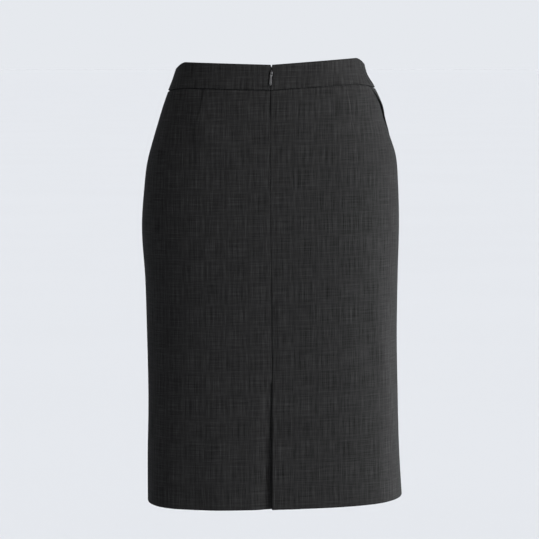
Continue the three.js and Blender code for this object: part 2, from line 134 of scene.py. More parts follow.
def ring(angle, z):
    """Point on the level section at height z."""
    t = np.radians(angle)
    k = section_value("squareness", z)
    width = np.where(np.sin(t) >= 0, section_value("left", z), section_value("right", z))
    depth = np.where(np.cos(t) >= 0, section_value("back", z), section_value("front", z))
    x = width * (np.sin(t) + k * np.sin(3 * t)) / (1 - k)
    y = depth * (np.cos(t) - k * np.cos(3 * t)) / (1 - k)
    return x, y


def ring_direction(angle, z):
    """Step along the section for one degree."""
    step = 0.05
    x0, y0 = ring(angle - step, z)
    x1, y1 = ring(angle + step, z)
    return (x1 - x0) / (2 * step), (y1 - y0) / (2 * step)


def degrees_for(distance, angle, z):
    """Angle that a distance along the section takes up."""
    dx, dy = ring_direction(angle, z)
    return distance / np.hypot(dx, dy)


# The centre back seam leans a little to the skirt's left above the vent, as the zip makes it do
LEAN_COLUMNS = ("z", "lean")
LEAN = [(30, 0.5), (10, 0.8), (-17, 2.0), (-45, 2.5), (-150, 2.6), (-185, 2.2), (-230, 1.8), (-262, 1.3)]
LEAN += [(-300, 1.0), (-340, 0.5), (-400, 0), (-580, 0)]
LEAN_SPREAD = 28


def cloth_point(angle, z, out):
    """Point at a distance out from the section, tilted with the hips, in millimetres."""
    x, y = ring(angle, z)
    dx, dy = ring_direction(angle, z)
    length = np.hypot(dx, dy)
    x = x - dy / length * out
    y = y + dx / length * out
    from_back = (np.asarray(angle) + 180) % 360 - 180
    x = x + from_table(LEAN, LEAN_COLUMNS, "lean", z) * np.exp(-((from_back / LEAN_SPREAD) ** 2))
    return np.stack([x, y, z - HIP_TILT * x], axis=-1)


def band_edge(level, turn, angle):
    """Height of an edge of the waistband at each angle."""
    sine = np.sin(np.radians(angle))
    cosine = np.cos(np.radians(angle))
    side = np.where(sine > 0, turn["left"], turn["right"])
    past = np.maximum(0, (np.abs(sine) - turn["from"]) / (1 - turn["from"]))
    back = BACK_WAIST_DIP * (1 - np.abs(sine)) + side * past**2
    front = side + (FRONT_WAIST_DIP - side) * cosine**2
    return level - np.where(cosine < 0, front, back)


def waist_top(angle):
    return band_edge(WAIST_TOP, TOP_TURN, angle)


def band_seam(angle):
    return band_edge(WAIST_TOP - BAND_HEIGHT, SEAM_TURN, angle)


def hem_rise(angle):
    return HEM_SIDE_RISE * np.sin(np.radians(angle)) ** 4


def right_seam(z):
    return from_table(RIGHT_SEAM, SEAM_COLUMNS, "angle", z)


def girth(z):
    angles = np.linspace(0, 360, 361)
    x, y = ring(angles, np.full(361, float(z)))
    return float(np.hypot(np.diff(x), np.diff(y)).sum())


for name, height in (("waist", 17), ("hip", -200), ("hem", HEM)):
    print(f"girth at the {name}: {girth(height):.0f} mm")

# %% [markdown]
# Cloth is never as smooth as its pattern. The real skirt shows darts below the band, a soft turn down each
# side of the back, a few shallow drags where the cloth is fullest, and a pocket mouth that stands
# open. They could be simulated, but a pressed suiting hangs the same way each time, so the creases are
# listed
# one by one. Each row below is one crease: where it starts and ends on the flat cloth, how far it bows, how
# wide it is, and how high it stands or, with a minus, how deep it sinks.

# %% Darts, creases and the pocket mouth
# The back's darts by side: 1 is the left piece and -1 the right one
BACK_DARTS = {
    1: {"angle": 37.6, "lean": 0.2, "length": 70, "step": 1.1},
    -1: {"angle": 41, "lean": 2.6, "length": 96, "step": 0.7},
}
FRONT_DART = {"angle": 142, "lean": 0, "length": 85, "step": 0.7}
MOUTH = {"top": -20, "bottom": -84, "gape": 3.9, "reach": 30, "back_lift": 1.3, "back_reach": 9}

# Large folds over the whole skirt: top and bottom heights, the angles there, half width in degrees, rise
FOLDS = [
    (-385, -760, 23, 21, 6, 1.5),
    (-400, -740, 38, 35, 9, -1.8),
    (-262, -520, -48, -68, 7, 1.8),
    (-262, -430, -41, -47, 6, -1),
    (-400, -640, -53, -51, 6, 1.1),
    (-300, -760, 128, 125, 10, 2),
    (-360, -760, 148, 152, 9, -1.6),
    (-380, -760, 176, 180, 9, 1.3),
    (-350, -740, 212, 207, 9, -1.5),
    (-280, -760, 231, 236, 10, 2.2),
]

# Small creases on the flat cloth: where each starts, across from the middle and in height, where it ends,
# how far it bows, its width and its rise
BACK_LEFT_CREASES = [
    (96, -58, 40, -136, 4, 10, 1.3),
    (104, -82, 64, -156, 4, 11, -1.2),
    (20, -200, 60, -330, 8, 16, 0.6),
    (120, -230, 190, -262, -8, 14, -0.8),
    (200, -300, 206, -580, 0, 26, 1.2),
    (40, -440, 52, -580, 3, 12, 0.6),
    (16, -365, 20, -470, 2, 7, 0.6),
]
BACK_RIGHT_CREASES = [
    (4, -100, 44, -175, -6, 9, -0.7),
    (70, -90, 88, -160, 5, 9, -0.5),
    (14, -390, 18, -420, 0, 6, -0.6),
    (24, -300, 34, -392, 3, 10, -0.5),
    (60, -215, 130, -240, 8, 15, -0.6),
    (90, -355, 150, -362, 4, 9, -0.5),
    (100, -462, 160, -470, 4, 10, -0.5),
    (190, -260, 200, -560, 4, 22, -1.1),
    (170, -140, 200, -250, 6, 16, 0.8),
]
FRONT_CREASES = [
    (-120, -120, -60, -190, 8, 14, -1.0),
    (118, -130, 58, -196, -8, 14, -1.0),
    (-40, -210, 50, -222, 10, 16, -0.7),
    (-205, -200, -196, -520, 5, 22, 1.0),
    (214, -220, 200, -540, -5, 22, -1.0),
    (30, -150, 96, -160, -7, 12, 0.7),
]


def hump(value, centre, half):
    """A smooth rise of one round a centre."""
    return np.exp(-(((value - centre) / half) ** 2))


def fold_rise(angle, z):
    """Height that the large folds add."""
    total = np.zeros_like(angle)
    for top, bottom, start, end, spread, rise in FOLDS:
        along = np.clip((top - z) / (top - bottom), 0, 1)
        total += rise * hump(angle, start + (end - start) * along, spread) * np.sin(np.pi * along)
    return total


def creases(table, across, z):
    """Height that a table of creases adds at points of the flat cloth."""
    total = np.zeros_like(across)
    for across_0, z_0, across_1, z_1, bow, width, height in table:
        run = np.array([across_1 - across_0, z_1 - z_0], float)
        length = np.hypot(*run)
        along = ((across - across_0) * run[0] + (z - z_0) * run[1]) / length**2
        side = ((across - across_0) * run[1] - (z - z_0) * run[0]) / length
        side = side - bow * 4 * along * (1 - along)
        fade = np.sin(np.pi * np.clip(along, 0, 1)) ** 0.8
        spread = width * (0.75 + 0.5 * np.clip(along, 0, 1))
        total += height * fade * hump(side, 0, spread)
    return total


def dart_angle(spec, z):
    """Where the dart runs: it leans a little towards its top."""
    below = (band_seam(spec["angle"]) - z) / spec["length"]
    return spec["angle"] + spec["lean"] * np.clip(1 - below, 0, 1)


def dart(spec, angle, z):
    """A pressed dart: the doubled side stands as a low step, and the cloth falls away on the other side."""
    beside = (np.abs(angle) - dart_angle(spec, z)) / degrees_for(1.0, angle, z)
    toward_middle = -beside if spec["angle"] < 90 else beside
    below = (band_seam(spec["angle"]) - z) / spec["length"]
    fade = smoothstep(1.2 - 1.2 * below)
    step = smoothstep((toward_middle + 0.9) / 1.8) * hump(np.maximum(toward_middle, 0), 0, 10)
    fall = -0.7 * hump(toward_middle, -4, 6)
    groove = -0.45 * hump(toward_middle, -0.8, 0.9)
    end = -0.45 * hump(beside, 0, 6) * hump(below, 0.94, 0.09)
    return spec["step"] * ((step + fall + groove) * fade + end)


def along_mouth(z):
    return np.clip((MOUTH["top"] - z) / (MOUTH["top"] - MOUTH["bottom"]), 0, 1)


def mouth_gape(angle, z):
    """How far the front stands off beside the pocket mouth."""
    past = np.clip((360 - angle - right_seam(z)) / MOUTH["reach"], 0, 1)
    return MOUTH["gape"] * np.sin(np.pi * along_mouth(z) ** 0.75) * (1 - past) ** 1.6 * (angle > 180)


def mouth_lift(angle, z):
    """How far the back panel's own lip of the mouth rises."""
    past = np.clip((right_seam(z) - np.abs(angle)) / MOUTH["back_reach"], 0, 1)
    return MOUTH["back_lift"] * np.sin(np.pi * along_mouth(z) ** 0.75) * (1 - past) ** 2 * (angle < 0)


SMALL_CREASES = BACK_LEFT_CREASES + BACK_RIGHT_CREASES + FRONT_CREASES
print("large folds:", len(FOLDS), "and small creases:", len(SMALL_CREASES))

# %% [markdown]
# Every edge of a cut piece goes somewhere. At a seam the cloth rolls in and its allowance lies flat behind.
# At the hem it turns up inside. An edge profile says both: how far from the seam line a row of points lies,
# and how far in it has sunk. The first half of a profile is the part that shows, and the rest is turned in.
# This gives a real groove at each seam and a hem with a rounded edge. Painting dark lines would be
# quicker, but they would not catch the light or hold from the side.

# %% Edge profiles
SEAM_ROLL = [(2.6, 0), (1.5, -0.05), (0.8, -0.22), (0.35, -0.58), (0.03, -1.2)]
SEAM_UNDER = [(0.25, -1.75), (1.0, -2.0), (0.5, -2.1), (1.0, -2.1)]
# Under the band the panels' allowance goes up between the band's two layers
TOP_ROLL = [(2.6, 0), (1.6, -0.08), (1.0, -0.34), (0.65, -0.95), (0.45, -1.5)]
TOP_UNDER = [(0, -1.6), (-1.0, -1.3), (-0.5, -0.75), (-1.0, -0.75)]
HEM_ROLL = [(4, 0), (2, -0.03), (0.9, -0.2), (0.25, -0.55), (0, -0.95)]
HEM_UNDER = [(0.25, -1.35), (0.9, -1.65), (0.2, -1.75), (0.6, -1.75), (1.0, -1.75)]
SEAM_ALLOWANCE = 11
TOP_ALLOWANCE = 5
HEM_ALLOWANCE = 36
VENT_FACING = 38
CLOTH_THICK = 0.45
COLUMN_STEP = 3.4
ROW_STEP = 4.2


def edge_profile(roll, turn, allowance):
    """Distances from the edge and depths, from the panel out to the edge and back in under it.
    The last rows of a turn are shares of the allowance, which may differ from row to row."""
    allowance = np.atleast_1d(np.asarray(allowance, float))
    distances = [np.full_like(allowance, d) for d, _ in roll]
    depths = [depth for _, depth in roll + turn]
    for d, depth in turn:
        flat = depth == turn[-1][1]
        distances.append(allowance * d if flat else np.full_like(allowance, d))
    return np.array(distances), np.array(depths)


def spaced(start, end, step):
    """Even values between two ends, without them."""
    count = max(1, int(round(abs(end - start) / step)))
    return np.linspace(start, end, count + 1)[1:-1]


print("rows in a seam profile:", len(SEAM_ROLL + SEAM_UNDER), "and in the hem:", len(HEM_ROLL + HEM_UNDER))

# %% [markdown]
# A sheet is a grid of points with a row for each height and a column for each place across. The grid becomes
# one mesh, its UV map holds millimetres of flat cloth, so the weave keeps its scale on every piece, and
# a Solidify modifier gives the sheet the thickness of suiting.

# %% From a grid of points to a sheet of cloth
def grid_faces(rows, columns):
    faces = []
    for j in range(rows - 1):
        for i in range(columns - 1):
            a = j * columns + i
            faces.append((a, a + columns, a + columns + 1, a + 1))
    return faces


def into_scene(name, data):
    made = bpy.data.objects.new(name, data)
    bpy.context.scene.collection.objects.link(made)
    return made


def new_object(name, vertices, faces, uvs=None):
    mesh = bpy.data.meshes.new(name)
    mesh.from_pydata([tuple(v) for v in vertices], [], [tuple(f) for f in faces])
    if uvs is not None:
        layer = mesh.uv_layers.new(name="flat_cloth")
        corner = np.empty(len(mesh.loops), dtype=np.int32)
        mesh.loops.foreach_get("vertex_index", corner)
        layer.data.foreach_set("uv", np.asarray(uvs, dtype=np.float32)[corner].ravel())
    for polygon in mesh.polygons:
        polygon.use_smooth = True
    return into_scene(name, mesh)


def thicken(made, thickness):
    shell = made.modifiers.new("cloth thickness", "SOLIDIFY")
    shell.thickness = thickness * MM
    shell.offset = -1
    shell.use_even_offset = False


def sheet_from_grids(name, grids):
    """One cloth object from several grids of points, each with its flat coordinates."""
    vertices = []
    faces = []
    uvs = []
    for points, flat in grids:
        rows, columns = points.shape[:2]
        start = len(vertices)
        faces += [tuple(start + n for n in f) for f in grid_faces(rows, columns)]
        vertices += list(points.reshape(-1, 3) * MM)
        uvs += list(flat.reshape(-1, 2) * MM)
    made = new_object(name, vertices, faces, uvs)
    work = bmesh.new()
    work.from_mesh(made.data)
    bmesh.ops.remove_doubles(work, verts=work.verts, dist=0.00001)
    work.to_mesh(made.data)
    work.free()
    return made


# %% [markdown]
# The panels. Their columns run from seam to seam with the edge profiles at both ends, and their rows from
# the band seam to the turned-up hem. A column keeps its place across the flat cloth, which is the
# distance along the section from the centre back, or from the centre front on the front piece.

# %% Rows and columns of a panel
def row_plan():
    """Rows of every panel: share of the way from seam to hip line, plain heights below, and depths."""
    top_distance, top_depth = edge_profile(TOP_ROLL, TOP_UNDER, TOP_ALLOWANCE)
    hem_distance, hem_depth = edge_profile(HEM_ROLL, HEM_UNDER, HEM_ALLOWANCE)
    return top_distance[::-1, 0], top_depth[::-1], hem_distance[:, 0], hem_depth


def panel_heights(angle):
    """Heights of all rows at each angle, as rows by columns."""
    top_distance, _, hem_distance, _ = row_plan()
    seam = band_seam(angle)
    first = top_distance[-1]
    rolled = [seam - d for d in top_distance]
    count = int(round((band_seam(60.0) - first - HIP_LINE) / ROW_STEP))
    shares = np.linspace(0, 1, count + 1)[1:]
    upper = [(seam - first) * (1 - s) + HIP_LINE * s for s in shares]
    to_vent = spaced(HIP_LINE, VENT_TOP, ROW_STEP)
    to_hem = spaced(VENT_TOP, HEM + hem_distance[0], ROW_STEP)
    above_vent = [np.full_like(seam, z) for z in [*to_vent, VENT_TOP]]
    shares = (VENT_TOP - np.concatenate([to_hem, HEM + hem_distance])) / (VENT_TOP - HEM)
    reach = VENT_TOP - HEM - hem_rise(angle)
    return np.array(rolled + upper + above_vent + [VENT_TOP - reach * share for share in shares])


def row_depths(rows):
    _, top_depth, _, hem_depth = row_plan()
    depth = np.zeros(rows)
    depth[: len(top_depth)] = top_depth
    depth[rows - len(hem_depth):] = hem_depth
    return depth


BESIDE_DART = np.array([-9, -6.5, -4.6, -3.2, -2.2, -1.4, -0.7, 0, 0.7, 1.4, 2.2, 3.2, 4.6, 6.5, 9])


def column_grid(start, end, start_profile, end_profile, step, level, through=()):
    """Angles and depths of the columns between two seams. start and end hold an angle for each row, a
    profile may be None where the cloth goes on past the end, and columns crowd beside each dart."""
    parts = []
    depths = []
    inner_start = start
    inner_end = end
    if start_profile is not None:
        distances, sunk = start_profile
        turned = start + degrees_for(distances[::-1], start, level)
        parts.append(turned)
        depths.append(sunk[::-1])
        inner_start = turned[-1]
    if end_profile is not None:
        distances, sunk = end_profile
        end_part = end - degrees_for(distances, end, level)
        inner_end = end_part[0]

    def plain(from_angle, to_angle):
        width = np.mean(np.abs(to_angle - from_angle) / degrees_for(1.0, (start + end) / 2, level))
        shares = spaced(0, 1, step / width)
        parts.append(from_angle + (to_angle - from_angle) * shares[:, None])
        depths.append(np.zeros(len(shares)))

    if start_profile is None:
        parts.append(start[None, :])
        depths.append(np.zeros(1))
    reached = inner_start
    for stop in through:
        near = stop + degrees_for(BESIDE_DART[:, None], stop, level)
        plain(reached, near[0])
        parts.append(near)
        depths.append(np.zeros(len(near)))
        reached = near[-1]
    plain(reached, inner_end)
    if end_profile is not None:
        parts.append(end_part)
        depths.append(end_profile[1])
    else:
        parts.append(end[None, :])
        depths.append(np.zeros(1))
    return np.concatenate(parts).T, np.concatenate(depths)


def across_from(origin, angle, z):
    """Distance along the section from an origin angle to each point of a row."""
    shares = np.linspace(0, 1, 33)
    along = origin + (angle[..., None] - origin) * shares
    x, y = ring(along, np.broadcast_to(z[..., None], along.shape))
    length = np.hypot(np.diff(x, axis=-1), np.diff(y, axis=-1)).sum(axis=-1)
    return length * np.sign(angle - origin)


SEAM_LEVEL = 76
SEAM_ROWS = panel_heights(np.array([float(SEAM_LEVEL)]))[:, 0]
print("rows down a panel:", len(SEAM_ROWS))

# %% [markdown]
# The back is cut as two mirror pieces that differ at the vent. The right piece ends there in a straight
# folded edge with its facing turned in. The left piece steps in beside the seam and runs on under the right
# one, and towards the hem it swings in further, which gives the dark wedge that shows in the opening.

# %% The two back panels
PANEL_WALL = 2.2
LAYER_GAP = 0.5
VENT_STEP_TOP = PANEL_WALL + LAYER_GAP
VENT_STEP_HEM = 8.5
VENT_WEDGE_TOP = 4.3
VENT_WEDGE_HEM = 8.3
VENT_UNDERLAP = 39

# The two backs stand a hair apart beside the zip, down to this height
ZIP_PARTED = 0.2
ZIP_PARTED_DOWN_TO = -62
ZIP_PARTED_FADE = 30

# The centre back seam lies crisp at the zip and over the vent, and nearly flat between: height and share
CREASED = [(-19, 1.0), (-42, 1.0), (-50, 0.3), (-150, 0.35), (-225, 0.4), (-255, 0.5), (-266, 0.9)]
CREASED += [(-278, 0.75), (-310, 0.9), (-406, 1.0), (-580, 1.0)]

# A low ridge below the left dart, where the cloth turns to the side: its place across, how it leans inwards
# on its way down, its reach to each side, and the heights between which it holds
RIDGE = {"across": 103, "lean_from": -64, "lean_height": 26, "lean": 0.25}
RIDGE |= {"inner": 26, "outer": 8, "rise": 2.8}
RIDGE_HOLDS = {"top": -40, "top_fade": 22, "bottom": -135, "bottom_fade": 45}


def creased(z):
    rows = np.array(CREASED, float)
    return np.interp(-z, -rows[:, 0], rows[:, 1])


def vent_step(angle, z):
    down = np.clip((VENT_TOP - z) / (VENT_TOP - HEM), 0, 1)
    wedge = VENT_WEDGE_TOP + (VENT_WEDGE_HEM - VENT_WEDGE_TOP) * down
    step = VENT_STEP_TOP + (VENT_STEP_HEM - VENT_STEP_TOP) * smoothstep(down) ** 0.75
    return np.where(z < VENT_TOP + 1, step * (1 - smoothstep(angle / wedge)), 0)


def ridge(across, z):
    leaned = np.clip(z - RIDGE["lean_from"], -RIDGE["lean_height"], 0) * RIDGE["lean"]
    beyond = across - (RIDGE["across"] + leaned)
    reach = np.where(beyond < 0, RIDGE["inner"], RIDGE["outer"])
    below_top = smoothstep((RIDGE_HOLDS["top"] - z) / RIDGE_HOLDS["top_fade"])
    above_bottom = smoothstep((z - RIDGE_HOLDS["bottom"]) / RIDGE_HOLDS["bottom_fade"])
    return RIDGE["rise"] * hump(beyond, 0, reach) * below_top * above_bottom


def back_form(angle, z, side):
    """Everything that lifts or sinks the cloth of a back panel."""
    across = np.abs(across_from(0.0, angle, z))
    table = BACK_LEFT_CREASES if side > 0 else BACK_RIGHT_CREASES
    rise = creases(table, across, z) + fold_rise(angle, z) + dart(BACK_DARTS[side], angle, z)
    if side > 0:
        rise = rise + ridge(across, z)
    dimple = -0.6 * hump(across, 0, 4) * hump(z, -53, 5)
    rise = rise + mouth_lift(angle, z) + dimple
    fall_in = -0.2 * hump(across, 0, 5) * smoothstep((z + 330) / 60)
    over_vent = smoothstep((-285 - z) / 25) * smoothstep((z - VENT_TOP + 5) / 20)
    pressed = -1.6 * hump(across, 0, 13 if side > 0 else 7) * over_vent
    clear_of_edge = 1 - hump(across, 0, 3) * (z < VENT_TOP)
    return rise * clear_of_edge + fall_in + pressed, across


def back_panel(side):
    rows = len(SEAM_ROWS)
    turn = np.full(rows, float(SEAM_ALLOWANCE))
    middle_turn = turn.copy()
    if side < 0:
        middle_turn = np.where(SEAM_ROWS < VENT_TOP, VENT_FACING, SEAM_ALLOWANCE).astype(float)
    seam = np.full(rows, float(LEFT_SEAM)) if side > 0 else right_seam(SEAM_ROWS)
    middle_profile = edge_profile(SEAM_ROLL, SEAM_UNDER, middle_turn)
    side_profile = edge_profile(SEAM_ROLL, SEAM_UNDER, turn)
    through = [dart_angle(BACK_DARTS[side], SEAM_ROWS)]
    gap = ZIP_PARTED * smoothstep((SEAM_ROWS - ZIP_PARTED_DOWN_TO) / ZIP_PARTED_FADE)
    parted = degrees_for(gap, 0.0, SEAM_ROWS)
    angle, sunk = column_grid(parted, seam, middle_profile, side_profile, COLUMN_STEP, SEAM_ROWS, through)
    angle = angle * side
    z = np.array([panel_heights(angle[j])[j] for j in range(rows)])
    rise, across = back_form(angle, z, side)
    depth = np.broadcast_to(sunk, angle.shape).copy()
    turned = len(SEAM_UNDER)
    edge = turned + len(SEAM_ROLL)
    flatter = (1 - creased(SEAM_ROWS))[:, None]
    depth[:, :edge] -= flatter * np.clip(depth[:, :edge], SEAM_ROLL[-1][1], 0)
    if side > 0:
        below = SEAM_ROWS < VENT_TOP + 1
        depth[np.ix_(below, np.arange(sunk.size) < turned + len(SEAM_ROLL) + 1)] = 0
        rise = rise - vent_step(angle, z)
    out = rise + depth + row_depths(rows)[:, None]
    points = cloth_point(angle, z, out)
    flat = np.stack([across * side, z], axis=-1)
    if side < 0:
        return [(points[:, ::-1], flat[:, ::-1])]
    above = int(np.argmax(SEAM_ROWS <= VENT_TOP + 1e-6))
    allowance = (points[: above, : turned + 1], flat[: above, : turned + 1])
    grids = [(points[:, turned:], flat[:, turned:]), allowance]
    grids.append(underlap(above, angle[:, turned], z[:, turned]))
    return grids


def underlap(above, edge_angle, edge_z):
    """The left panel's cloth that runs on under the right panel below the top of the vent."""
    reach = np.array([VENT_UNDERLAP - 8, VENT_UNDERLAP, VENT_UNDERLAP, *np.linspace(VENT_UNDERLAP, 0, 12)])
    sunk = np.array([-1.2, -1.2, -0.5, *np.zeros(12)])
    angle = edge_angle[above:, None] - degrees_for(reach[None, :], 0.0, edge_z[above:, None])
    z = np.repeat(edge_z[above:, None], reach.size, axis=1)
    depth = sunk - vent_step(angle, z) + row_depths(len(edge_z))[above:, None]
    flat = np.stack([np.broadcast_to(-reach, z.shape), z], axis=-1)
    return cloth_point(angle, z, depth), flat


# %% [markdown]
# The front is one piece from side seam to side seam. Beside the pocket its edge lifts away from the back
# panel, so the mouth shows a dark opening with a strip of facing behind it.

# %% The front panel and the pocket facing
MOUTH_FACING = 26
POCKET_FACING = {"top": -19, "bottom": -150, "under": 3, "past": 15, "swell": 2.2}
# The front reaches this far past its side seams, so that no light gets through them
SEAM_LAP = 0.08


def front_panel():
    rows = len(SEAM_ROWS)
    lap = degrees_for(SEAM_LAP, float(LEFT_SEAM), SEAM_ROWS)
    start = float(LEFT_SEAM) - lap
    end = 360 - right_seam(SEAM_ROWS) + lap
    in_mouth = (SEAM_ROWS < MOUTH["top"]) & (SEAM_ROWS > MOUTH["bottom"])
    facing = np.where(in_mouth, MOUTH_FACING, SEAM_ALLOWANCE).astype(float)
    start_profile = edge_profile(SEAM_ROLL, SEAM_UNDER, np.full(rows, float(SEAM_ALLOWANCE)))
    end_profile = edge_profile(SEAM_ROLL, SEAM_UNDER, facing)
    through = [np.full(rows, float(a)) for a in (FRONT_DART["angle"], 360 - FRONT_DART["angle"])]
    angle, sunk = column_grid(start, end, start_profile, end_profile, COLUMN_STEP, SEAM_ROWS, through)
    z = np.array([panel_heights(angle[j])[j] for j in range(rows)])
    across = across_from(180.0, angle, z)
    darts = dart(FRONT_DART, 180 - np.abs(angle - 180), z)
    rise = creases(FRONT_CREASES, across, z) + fold_rise(angle, z) + darts
    out = rise + mouth_gape(angle, z) + sunk[None, :] + row_depths(rows)[:, None]
    return [(cloth_point(angle, z, out), np.stack([across, z], axis=-1))]


def pocket_facing():
    z = np.linspace(POCKET_FACING["top"], POCKET_FACING["bottom"], 40)[:, None]
    share = np.linspace(0, 1, 14)[None, :]
    seam = 360 - right_seam(z)
    angle = seam + POCKET_FACING["under"] - (POCKET_FACING["under"] + POCKET_FACING["past"]) * share
    z = np.broadcast_to(z, angle.shape)
    past = 360 - angle - right_seam(z)
    swell = smoothstep((past + 0.5) / 3.5) * (1 - smoothstep((past - 4) / 6))
    out = -(PANEL_WALL + LAYER_GAP) + POCKET_FACING["swell"] * np.sin(np.pi * along_mouth(z) ** 0.75) * swell
    across = across_from(180.0, angle, z)
    return [(cloth_point(angle, z, out), np.stack([across, z], axis=-1))]


# %% [markdown]
# The waistband is a folded strip: outer cloth, a rounded top edge and an inner layer. One profile down the
# band gives all of it, and near each end the two layers close round on each other. At the centre back the
# ends stand a little apart round the zip's slider.

# %% The waistband
BAND_PROUD = 0.5
BAND_MIDDLE = -1.15
BAND_INSIDE = [(33.5, -2.25), (26, -2.3), (17, -2.3), (9, -2.3), (3, -2.25), (1.1, -2.05), (0.25, -1.6)]
BAND_OVER = [(0, -1.15), (0.25, -0.62), (0.9, -0.2), (2, -0.04)]
BAND_SEAM_ROLL = [(1.6, -0.03), (1.0, -0.15), (0.6, -0.5), (0.45, -1.15)]
# Half the opening between the band's back ends at each distance below its top edge, and each end's share
SLIT = [(0, 0.9), (1.5, 0.5), (8, 0.5), (11, 1.5), (14, 2.2), (19, 2.6)]
SLIT += [(23, 2.4), (27, 0.8), (29.5, 0.3), (60, 0.3)]
SLIT_SHARES = {1: 1.5, -1: 0.85}
# At the side seams the bands lap by a hair, so that no light gets through
SEAM_HALF = 0.03
SIDE_HALF = -0.03
END_ROUND = [0.0, 0.12, 0.35, 0.7, 1.15, 2.2]
END_RADIUS = 1.15
SIDE_RADIUS = 2.2
# The band's own place on the flat cloth, so that its weave doesn't run on from the panels
BAND_FLAT = (700, 300)
RIPPLE = 0.25


def slit_half(below):
    rows = np.array(SLIT, float)
    return np.interp(below, rows[:, 0], rows[:, 1])


def band_plan():
    outer = [(d, 0.0) for d in np.linspace(2, BAND_HEIGHT - 1.5, 11)[1:-1]]
    seam = [(BAND_HEIGHT - d, depth) for d, depth in BAND_SEAM_ROLL]
    plan = np.array(BAND_INSIDE + BAND_OVER + outer + seam)
    return plan[:, 0], plan[:, 1]


def band(start, end, slit_share):
    """start and end are the angles of the band's ends for each row of the plan."""
    drop, row_out = band_plan()
    level = WAIST_TOP - 3 - drop
    ends = np.array(END_ROUND)
    opening = np.maximum(slit_half(drop) * slit_share, SEAM_HALF) if slit_share else SIDE_HALF
    first = ends[:, None] + opening
    last = ends[::-1, None] + SIDE_HALF
    first = start + degrees_for(first, start, level)
    last = end - degrees_for(last, end, level)
    width = np.mean((last[0] - first[-1]) / degrees_for(1.0, (start + end) / 2, level))
    shares = np.linspace(0, 1, int(round(width / COLUMN_STEP)) + 1)[1:-1]
    middle = first[-1] + (last[0] - first[-1]) * shares[:, None]
    angle = np.concatenate([first, middle, last]).T
    near = np.concatenate([ends, np.full(len(shares), 9.0), ends[::-1]])
    first_radius = END_RADIUS if slit_share else SIDE_RADIUS
    radius = np.where(np.arange(near.size) < near.size / 2, first_radius, SIDE_RADIUS)
    close = np.sqrt(1 - (1 - np.clip(near / radius, 0, 1)) ** 2)
    return angle, drop, BAND_MIDDLE + (row_out[:, None] - BAND_MIDDLE) * close[None, :]


def band_grid(name_side):
    drop, _ = band_plan()
    right = right_seam(band_seam(float(SEAM_LEVEL)) + BAND_HEIGHT - drop)
    left = np.full(drop.size, float(LEFT_SEAM))
    if name_side == "front":
        angle, drop, out = band(left, 360 - right, 0)
    elif name_side == "left":
        angle, drop, out = band(np.zeros(drop.size), left, SLIT_SHARES[1])
    else:
        angle, drop, out = band(np.zeros(drop.size), right, SLIT_SHARES[-1])
        angle = -angle
    height = waist_top(angle) - band_seam(angle)
    z = waist_top(angle) - drop[:, None] * height / BAND_HEIGHT
    down = np.sin(np.pi * np.clip(drop / 30, 0, 1))[:, None]
    ripple = RIPPLE * np.sin(angle * 0.31) * np.sin(angle * 0.083 + 1) * down
    out = out + BAND_PROUD + ripple * (out > -0.3)
    across = across_from(180.0 if name_side == "front" else 0.0, angle, z)
    points = cloth_point(angle, z, out)
    flat = np.stack([across + BAND_FLAT[0], z + BAND_FLAT[1]], axis=-1)
    if name_side == "right":
        points, flat = points[:, ::-1], flat[:, ::-1]
    return [(points, flat)]


# %% [markdown]
# Now the grids become pieces. Each rides with the skirt's body and takes the place of its wall in the frame.
# The panels' sizes follow the girth at the hips.

# %% Make the cloth pieces
def face_outwards(made):
    """Turns all faces if the middle of the sheet faces the inside of the skirt."""
    outwards = 0.0
    for polygon in made.data.polygons:
        outwards += polygon.normal.x * polygon.center.x + polygon.normal.y * polygon.center.y
    if outwards < 0:
        made.data.flip_normals()


CLOTH = {}


def cloth_piece(name, grids, node):
    made = sheet_from_grids(name, grids)
    face_outwards(made)
    thicken(made, CLOTH_THICK)
    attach(made, "skirt")
    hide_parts(node)
    CLOTH[name] = made


cloth_piece("back_left", back_panel(1), "back_panel_left")
cloth_piece("back_right", back_panel(-1), "back_panel_right")
cloth_piece("front", front_panel(), "front_panel")
cloth_piece("pocket_inside", pocket_facing(), "pocket_facing_right")
cloth_piece("band_front", band_grid("front"), "waistband_front")
cloth_piece("band_back_left", band_grid("left"), "waistband_back_left")
cloth_piece("band_back_right", band_grid("right"), "waistband_back_right")

# %% [markdown]
# The suiting is a fine worsted in charcoal, woven from mixed dark and grey yarns. At arm's length it reads
# as long fine strokes, light and dark, up and down and across, on a faint check of about seven millimetres.
# Five noises do this: one for the warp strokes, one for the weft strokes, two that break up the lines of
# the check, and one for slow clouds of tone. They follow the flat cloth, because the UV map is in metres
# of it.

# %% Helpers for materials
def new_material(name):
    material = bpy.data.materials.new(name)
    material.use_nodes = True
    tree = material.node_tree
    shader = tree.nodes["Principled BSDF"]
    return material, tree, shader


def math_node(tree, operation, a, b=None, c=None):
    made = tree.nodes.new("ShaderNodeMath")
    made.operation = operation
    for slot_number, value in enumerate((a, b, c)):
        if value is None:
            continue
        if isinstance(value, (int, float)):
            made.inputs[slot_number].default_value = value
        else:
            tree.links.new(value, made.inputs[slot_number])
    return made.outputs[0]


def noise(tree, across, along, detail=1.0, roughness=0.5):
    """Noise of flat cloth coordinates that are already scaled."""
    place = tree.nodes.new("ShaderNodeCombineXYZ")
    tree.links.new(across, place.inputs[0])
    tree.links.new(along, place.inputs[1])
    made = tree.nodes.new("ShaderNodeTexNoise")
    made.noise_dimensions = "2D"
    made.inputs["Scale"].default_value = 1.0
    made.inputs["Detail"].default_value = detail
    made.inputs["Roughness"].default_value = roughness
    tree.links.new(place.outputs[0], made.inputs["Vector"])
    return made.outputs["Fac"]


